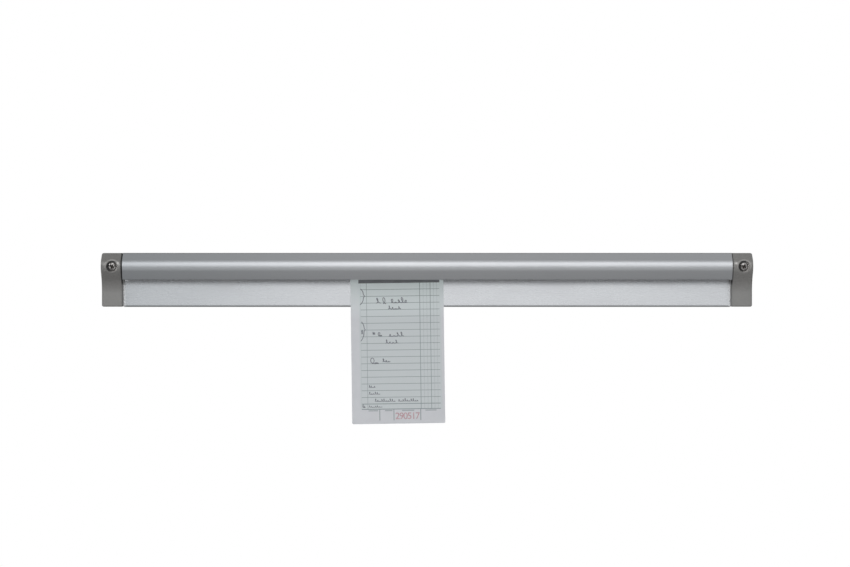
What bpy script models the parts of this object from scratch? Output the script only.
"""Order ticket rail: a hooked aluminium extrusion with end caps, screws, loose marbles and a hanging ticket.

Metres, +X along the rail, -Y away from the wall, +Z up. The origin is the centre of the extrusion's back
face, which lies on the wall. Outlines of the section are drawn as (depth, height): depth is the distance in
front of the wall, and height is counted from the rail's bottom edge.
"""

from math import ceil, cos, pi, radians, sin, tan

import bmesh
import bpy
from mathutils import Matrix, Vector

MM = 0.001

# The whole rail
OVERALL_LENGTH = 609.6 * MM
RAIL_HEIGHT = 50.8 * MM
CAP_WIDTH = 19.05 * MM
SEAM_GAP = 0.3 * MM
RUNNING_GAP = 0.3 * MM
OVERRUN = 5.0 * MM
WELD = 0.001 * MM
SHARP_ANGLE = radians(30)

# The extruded section
PLATE_THICKNESS = 2.0 * MM
PLATE_FOOT_RADIUS = 1.0 * MM
BACK_EDGE_RADIUS = 0.25 * MM
HOOD_WALL = 1.6 * MM
HOOD_DEPTH = 28.0 * MM
NOSE_DROP = 12.8 * MM
NOSE_RADIUS = 9.0 * MM
TRACK_NOSE_RADIUS = 6.5 * MM
SHOULDER_SLOPE = radians(35)
SHOULDER_RADIUS = 2.5 * MM
SKIRT_LEAN = radians(28)
SKIRT_DROP = 12.4 * MM
LIP_RADIUS = 0.7 * MM
LEDGE_SLOPE = radians(25)
LEDGE_THICKNESS = 1.6 * MM
LEDGE_TIP_RADIUS = 0.7 * MM
TICKET_SLOT = 5.0 * MM
ROOT_RADIUS = 0.6 * MM

# The glass marbles
MARBLE_DIAMETER = 16.0 * MM
MARBLE_LIFT = 1.2 * MM
MARBLE_SPACING = 0.3 * MM
MARBLE_SEGMENTS = 12
MARBLE_RINGS = 8

# The ticket
TICKET_WIDTH = 87.6 * MM
TICKET_LENGTH = 157.6 * MM
TICKET_THICKNESS = 0.3 * MM
TICKET_X = -27.6 * MM
TICKET_ROOF_GAP = 1.4 * MM
TICKET_TILT = radians(0.8)
TICKET_CURL_RADIUS = 1400.0 * MM
TICKET_CURL_STEPS = 8

# The moulded end caps
CAP_SHY = 0.1 * MM
CAP_FOOT_RISE = 0.3 * MM
CAP_LOWER_DEPTH = 16.5 * MM
CAP_NECK_LEAN = radians(40)
CAP_NECK_RADIUS = 20.0 * MM
CAP_FOOT_RADIUS = 1.6 * MM
CAP_WALL = 2.0 * MM
CAP_EDGE_RADIUS = 1.8 * MM
CAP_SEAM_RADIUS = 0.6 * MM
CAP_EDGE_STEPS = 3
SPIGOT_LENGTH = 8.0 * MM
SPIGOT_HEEL_RADIUS = 2.0 * MM
BOSS_DIAMETER = 12.4 * MM
RECESS_DIAMETER = 10.2 * MM
RECESS_DEPTH = 4.2 * MM

# The mounting screws, which stand a little to the right of the caps' middles
SCREW_SHIFT = 1.0 * MM
SCREW_DIAMETER = 4.2 * MM
SCREW_BORE = 5.0 * MM
SCREW_REACH = 20.0 * MM
SCREW_POINT = 5.0 * MM
SCREW_TIP_DIAMETER = 0.8 * MM
HEAD_DIAMETER = 8.0 * MM
HEAD_RIM = 1.2 * MM
HEAD_CROWN = 1.5 * MM
HEAD_CROWN_STEPS = 4
CROSS_LENGTH = 4.6 * MM
CROSS_WIDTH = 1.0 * MM
CROSS_DEPTH = 1.6 * MM

ARC_STEP = radians(9)
ROUND_SEGMENTS = 32

CAP_INNER_X = OVERALL_LENGTH / 2 - CAP_WIDTH
RAIL_START = SEAM_GAP - CAP_INNER_X
RAIL_END = CAP_INNER_X - SEAM_GAP
CAP_CENTRE_X = OVERALL_LENGTH / 2 - CAP_WIDTH / 2
NOSE_HEIGHT = RAIL_HEIGHT - NOSE_DROP
LIP_HEIGHT = NOSE_HEIGHT - SKIRT_DROP
MARBLE_HEIGHT = NOSE_HEIGHT + MARBLE_LIFT
MARBLE_RADIUS = MARBLE_DIAMETER / 2
TICKET_TOP = RAIL_HEIGHT - HOOD_WALL - TICKET_ROOF_GAP
TICKET_DROP = TICKET_LENGTH - TICKET_TOP
NOSE_CENTRE = Vector((HOOD_DEPTH - NOSE_RADIUS, NOSE_HEIGHT))


def world(x, depth, height):
    """The place in front of the wall at this depth, and this height over the rail's bottom edge."""
    return Vector((x, -depth, height - RAIL_HEIGHT / 2))


class Side:
    """A straight side of an outline. Its normal points out of the piece, at an angle above level."""

    def __init__(self, angle, through=None, reach=None):
        self.angle = angle
        self.normal = Vector((cos(angle), sin(angle)))
        self.reach = self.normal.dot(Vector(through)) if through is not None else reach

    def inset(self, distance):
        return Side(self.angle, reach=self.reach - distance)

    def meets(self, other):
        a, b = self.normal, other.normal
        cross = a.x * b.y - a.y * b.x
        depth = (self.reach * b.y - other.reach * a.y) / cross
        height = (a.x * other.reach - b.x * self.reach) / cross
        return Vector((depth, height))


def nose_side(angle, radius):
    """The side that touches an arc of this radius about the nose's centre."""
    return Side(angle, through=NOSE_CENTRE + radius * Vector((cos(angle), sin(angle))))


def rounded(corners):
    """The outline through (corner, radius) pairs, each corner turned into an arc of its radius."""
    points = []
    for i, (corner, radius) in enumerate(corners):
        if not radius:
            points.append(corner)
            continue
        before = (corners[i - 1][0] - corner).normalized()
        after = (corners[(i + 1) % len(corners)][0] - corner).normalized()
        half = before.angle(after) / 2
        centre = corner + (before + after).normalized() * radius / sin(half)
        start = corner + before * radius / tan(half) - centre
        turn = pi - 2 * half
        side = -1 if before.x * after.y - before.y * after.x > 0 else 1
        steps = max(2, ceil(turn / ARC_STEP))
        for step in range(steps + 1):
            points.append(centre + Matrix.Rotation(side * turn * step / steps, 2) @ start)
    return points


# The sides of the section, from the wall outwards and round the hood
BACK = Side(pi, through=(0, 0))
TOP = Side(pi / 2, through=(0, RAIL_HEIGHT))
FOOT = Side(-pi / 2, through=(0, 0))
PLATE = Side(0, through=(PLATE_THICKNESS, 0))
SHOULDER = nose_side(pi / 2 - SHOULDER_SLOPE, NOSE_RADIUS)
SKIRT = nose_side(-SKIRT_LEAN, NOSE_RADIUS)
FRONT = nose_side(0, NOSE_RADIUS)
LIP = Side(-pi / 2, through=(0, LIP_HEIGHT))
TRACK = Vector((PLATE_THICKNESS + RUNNING_GAP + MARBLE_RADIUS, MARBLE_HEIGHT))
UP_THE_LEDGE = Vector((cos(LEDGE_SLOPE), sin(LEDGE_SLOPE)))
LEDGE = Side(
    pi / 2 + LEDGE_SLOPE,
    through=TRACK + (MARBLE_RADIUS + RUNNING_GAP) * Vector((sin(LEDGE_SLOPE), -cos(LEDGE_SLOPE))),
)
LEDGE_TIP = Side(pi, through=(PLATE_THICKNESS + TICKET_SLOT, 0))


def rail_outline():
    """The extrusion's section: plate, roof, shoulder, nose, leaning skirt and the sloping ball ledge."""
    roof = TOP.inset(HOOD_WALL)
    shoulder = SHOULDER.inset(HOOD_WALL)
    front = FRONT.inset(HOOD_WALL)
    skirt = SKIRT.inset(HOOD_WALL)
    under = LEDGE.inset(LEDGE_THICKNESS)
    return rounded(
        [
            (BACK.meets(FOOT), BACK_EDGE_RADIUS),
            (FOOT.meets(PLATE), PLATE_FOOT_RADIUS),
            (PLATE.meets(roof), ROOT_RADIUS),
            (roof.meets(shoulder), ROOT_RADIUS),
            (shoulder.meets(front), TRACK_NOSE_RADIUS),
            (front.meets(LEDGE), ROOT_RADIUS),
            (LEDGE.meets(LEDGE_TIP), LEDGE_TIP_RADIUS),
            (LEDGE_TIP.meets(under), LEDGE_TIP_RADIUS),
            (under.meets(skirt), ROOT_RADIUS),
            (skirt.meets(LIP), LIP_RADIUS),
            (LIP.meets(SKIRT), LIP_RADIUS),
            (SKIRT.meets(SHOULDER), NOSE_RADIUS),
            (SHOULDER.meets(TOP), SHOULDER_RADIUS),
            (TOP.meets(BACK), BACK_EDGE_RADIUS),
        ]
    )


def cap_outline(inset, back):
    """The end cap's side view, drawn in by inset: the hood's outline above, and a shallower foot below."""
    nose = NOSE_RADIUS - CAP_SHY
    top = TOP.inset(inset + CAP_SHY)
    shoulder = SHOULDER.inset(inset + CAP_SHY)
    neck = nose_side(-CAP_NECK_LEAN, nose - inset)
    lower = Side(0, through=(CAP_LOWER_DEPTH - inset, 0))
    foot = FOOT.inset(inset + CAP_FOOT_RISE)
    return rounded(
        [
            (back.meets(foot), 0),
            (foot.meets(lower), max(CAP_FOOT_RADIUS - inset, ROOT_RADIUS)),
            (lower.meets(neck), CAP_NECK_RADIUS + inset),
            (neck.meets(shoulder), nose - inset),
            (shoulder.meets(top), max(SHOULDER_RADIUS - CAP_SHY - inset, ROOT_RADIUS)),
            (top.meets(back), 0),
        ]
    )


def spigot_outline(inset, back):
    """The plug that fits the hood's hollow over the ball ledge, drawn in by inset."""
    slack = RUNNING_GAP + inset
    roof = TOP.inset(HOOD_WALL + slack)
    shoulder = SHOULDER.inset(HOOD_WALL + slack)
    front = FRONT.inset(HOOD_WALL + slack)
    ledge = LEDGE.inset(-slack)
    return rounded(
        [
            (back.meets(ledge), 0 if inset else SPIGOT_HEEL_RADIUS),
            (ledge.meets(front), ROOT_RADIUS),
            (front.meets(shoulder), TRACK_NOSE_RADIUS - slack),
            (shoulder.meets(roof), ROOT_RADIUS),
            (roof.meets(back), 0),
        ]
    )


def material(name, colour, metallic, roughness):
    made = bpy.data.materials.new(name)
    made.use_nodes = True
    shader = made.node_tree.nodes["Principled BSDF"]
    shader.inputs["Base Color"].default_value = (*colour, 1)
    shader.inputs["Metallic"].default_value = metallic
    shader.inputs["Roughness"].default_value = roughness
    return made


def add(name, shape, finish):
    """A finished piece of this shape, shaded smooth between its sharp edges."""
    piece = add_bare(name, shape)
    piece.data.materials.append(finish)
    piece.data.shade_smooth()
    piece.data.set_sharp_from_angle(angle=SHARP_ANGLE)
    return piece


def add_tool(name, shape):
    """A shape that a Boolean joins or cuts, kept out of renders."""
    tool = add_bare(name, shape)
    tool.hide_render = True
    tool.display_type = "WIRE"
    return tool


def add_bare(name, shape):
    bmesh.ops.recalc_face_normals(shape, faces=shape.faces)
    mesh = bpy.data.meshes.new(name)
    shape.to_mesh(mesh)
    shape.free()
    return link(name, mesh)


def link(name, mesh):
    piece = bpy.data.objects.new(name, mesh)
    bpy.context.collection.objects.link(piece)
    return piece


def extruded(outline, start, end):
    """A solid of this section from x = start to x = end."""
    shape = bmesh.new()
    face = shape.faces.new([shape.verts.new(world(start, *point)) for point in outline])
    far = bmesh.ops.extrude_face_region(shape, geom=[face])["geom"]
    moved = [item for item in far if isinstance(item, bmesh.types.BMVert)]
    bmesh.ops.translate(shape, verts=moved, vec=(end - start, 0, 0))
    return shape


def round_rim(shape, x, radius, steps):
    """Rounds the edges of the end face at x, apart from those on the wall."""
    near = radius / 10

    def on_rim(edge):
        at_x = all(abs(vert.co.x - x) < near for vert in edge.verts)
        return at_x and any(vert.co.y < -near for vert in edge.verts)

    rim = [edge for edge in shape.edges if on_rim(edge)]
    bmesh.ops.bevel(
        shape,
        geom=rim,
        offset=radius,
        offset_type="OFFSET",
        segments=steps,
        profile=0.5,
        affect="EDGES",
        clamp_overlap=False,
    )


def rod(name, x, height, diameter, start, end):
    """A round cutter or boss that stands off the wall, from one depth to another."""
    shape = bmesh.new()
    bmesh.ops.create_cone(
        shape,
        cap_ends=True,
        segments=ROUND_SEGMENTS,
        radius1=diameter / 2,
        radius2=diameter / 2,
        depth=end - start,
        matrix=Matrix.Rotation(pi / 2, 4, "X"),
    )
    piece = add_tool(name, shape)
    piece.location = world(x, (start + end) / 2, height)
    return piece


def combine(piece, operation, other):
    step = piece.modifiers.new(other.name, "BOOLEAN")
    step.operation = operation
    step.object = other


def turned(profile):
    """A solid turned about Z from (radius, height) points, of which the first and last lie on the axis."""
    shape = bmesh.new()
    verts = [shape.verts.new((radius, 0, height)) for radius, height in profile]
    edges = [shape.edges.new(pair) for pair in zip(verts, verts[1:])]
    bmesh.ops.spin(
        shape,
        geom=verts + edges,
        axis=(0, 0, 1),
        cent=(0, 0, 0),
        angle=2 * pi,
        steps=ROUND_SEGMENTS,
        use_merge=True,
    )
    bmesh.ops.remove_doubles(shape, verts=shape.verts, dist=WELD)
    return shape


def make_rail(finish):
    shape = extruded(rail_outline(), RAIL_START, RAIL_END)
    return add("rail_extrusion", shape, finish)


def make_cap(name, side, finish):
    """One end cap: an open-backed shell with a spigot, a screw boss and a recess for the screw's head."""
    inner = side * CAP_INNER_X
    outer = side * OVERALL_LENGTH / 2
    shell = extruded(cap_outline(0, BACK), inner, outer)
    round_rim(shell, outer, CAP_EDGE_RADIUS, CAP_EDGE_STEPS)
    round_rim(shell, inner, CAP_SEAM_RADIUS, 1)
    cap = add(name, shell, finish)

    spigot_end = inner - side * SPIGOT_LENGTH
    plug_back = PLATE.inset(-RUNNING_GAP)
    plug = extruded(spigot_outline(0, plug_back), spigot_end, inner + side * CAP_WALL / 2)
    combine(cap, "UNION", add_tool(name + "_spigot", plug))

    behind = BACK.inset(-OVERRUN)
    hollow = extruded(cap_outline(CAP_WALL, behind), inner + side * CAP_WALL, outer - side * CAP_WALL)
    combine(cap, "DIFFERENCE", add_tool(name + "_hollow", hollow))
    core_start = spigot_end + side * CAP_WALL
    core = extruded(spigot_outline(CAP_WALL, behind), core_start, inner - side * CAP_WALL / 2)
    combine(cap, "DIFFERENCE", add_tool(name + "_core", core))

    front = HOOD_DEPTH - CAP_SHY
    seat = front - RECESS_DEPTH
    x = side * CAP_CENTRE_X + SCREW_SHIFT
    boss = rod(name + "_boss", x, NOSE_HEIGHT, BOSS_DIAMETER, 0, seat + CAP_WALL / 2)
    bore = rod(name + "_bore", x, NOSE_HEIGHT, SCREW_BORE, -OVERRUN, front)
    recess = rod(name + "_recess", x, NOSE_HEIGHT, RECESS_DIAMETER, seat, front + OVERRUN)
    combine(cap, "UNION", boss)
    combine(cap, "DIFFERENCE", bore)
    combine(cap, "DIFFERENCE", recess)
    return cap


def make_screw(name, side, finish):
    """A pan-head screw with a cross recess, from its point in the wall to its head in the cap's recess."""
    seat = HOOD_DEPTH - CAP_SHY - RECESS_DEPTH + RUNNING_GAP
    profile = [
        (0, -SCREW_REACH),
        (SCREW_TIP_DIAMETER / 2, -SCREW_REACH),
        (SCREW_DIAMETER / 2, -SCREW_REACH + SCREW_POINT),
        (SCREW_DIAMETER / 2, seat),
        (HEAD_DIAMETER / 2, seat),
    ]
    for step in range(HEAD_CROWN_STEPS + 1):
        turn = pi / 2 * step / HEAD_CROWN_STEPS
        profile.append((HEAD_DIAMETER / 2 * cos(turn), seat + HEAD_RIM + HEAD_CROWN * sin(turn)))
    screw = add(name, turned(profile), finish)
    crown = seat + HEAD_RIM + HEAD_CROWN
    for slot, (wide, high) in enumerate(((CROSS_LENGTH, CROSS_WIDTH), (CROSS_WIDTH, CROSS_LENGTH))):
        shape = bmesh.new()
        size = (wide, high, CROSS_DEPTH + OVERRUN)
        bmesh.ops.create_cube(shape, size=1, matrix=Matrix.Diagonal((*size, 1)))
        cutter = add_tool(f"{name}_slot_{slot}", shape)
        cutter.location = (0, 0, crown - CROSS_DEPTH + size[2] / 2)
        cutter.parent = screw
        combine(screw, "DIFFERENCE", cutter)
    screw.location = world(side * CAP_CENTRE_X + SCREW_SHIFT, 0, NOSE_HEIGHT)
    screw.rotation_euler = (pi / 2, 0, 0)
    return screw


def make_marbles(finish):
    """As many marbles as fit in a row between the two spigots. Those in front of the ticket stand off it."""
    pitch = MARBLE_DIAMETER + MARBLE_SPACING
    run = 2 * (CAP_INNER_X - SPIGOT_LENGTH) - MARBLE_SPACING
    count = int(run / pitch)
    held = (TICKET_THICKNESS + RUNNING_GAP) / cos(LEDGE_SLOPE)
    mesh = None
    for i in range(count):
        name = f"marble_{i + 1:02d}"
        if mesh:
            marble = link(name, mesh)
        else:
            shape = bmesh.new()
            bmesh.ops.create_uvsphere(
                shape, u_segments=MARBLE_SEGMENTS, v_segments=MARBLE_RINGS, radius=MARBLE_RADIUS
            )
            marble = add(name, shape, finish)
            mesh = marble.data
        x = (i - (count - 1) / 2) * pitch
        over_ticket = abs(x - TICKET_X) < (TICKET_WIDTH + MARBLE_RADIUS) / 2
        marble.location = world(x, *(TRACK + UP_THE_LEDGE * held if over_ticket else TRACK))


def make_ticket(finish):
    """The paper check: flat against the plate, and curling a little forward where it hangs free below."""
    back = PLATE_THICKNESS + RUNNING_GAP
    behind = [Vector((back, TICKET_TOP))]
    before = [Vector((back + TICKET_THICKNESS, TICKET_TOP))]
    for step in range(TICKET_CURL_STEPS + 1):
        turn = TICKET_DROP / TICKET_CURL_RADIUS * step / TICKET_CURL_STEPS
        for side, radius in ((behind, TICKET_CURL_RADIUS), (before, TICKET_CURL_RADIUS - TICKET_THICKNESS)):
            depth = back + TICKET_CURL_RADIUS - radius * cos(turn)
            side.append(Vector((depth, -radius * sin(turn))))
    shape = extruded(behind + before[::-1], -TICKET_WIDTH / 2, TICKET_WIDTH / 2)
    middle = world(0, 0, TICKET_TOP - TICKET_LENGTH / 2)
    bmesh.ops.translate(shape, verts=shape.verts, vec=-middle)
    ticket = add("order_ticket", shape, finish)
    ticket.location = middle + Vector((TICKET_X, 0, 0))
    ticket.rotation_euler = (0, -TICKET_TILT, 0)
    return ticket


def clear_scene():
    for item in list(bpy.data.objects):
        bpy.data.objects.remove(item, do_unlink=True)


def main():
    clear_scene()
    make_rail(material("satin_aluminium", (0.60, 0.61, 0.62), 1.0, 0.35))
    plastic = material("grey_plastic", (0.16, 0.16, 0.155), 0.0, 0.5)
    steel = material("bright_steel", (0.75, 0.75, 0.74), 1.0, 0.2)
    for name, side in (("left", -1), ("right", 1)):
        make_cap("end_cap_" + name, side, plastic)
        make_screw("mounting_screw_" + name, side, steel)
    make_marbles(material("marble_glass", (0.45, 0.62, 0.58), 0.0, 0.05))
    make_ticket(material("ticket_paper", (0.52, 0.55, 0.56), 0.0, 0.85))


main()
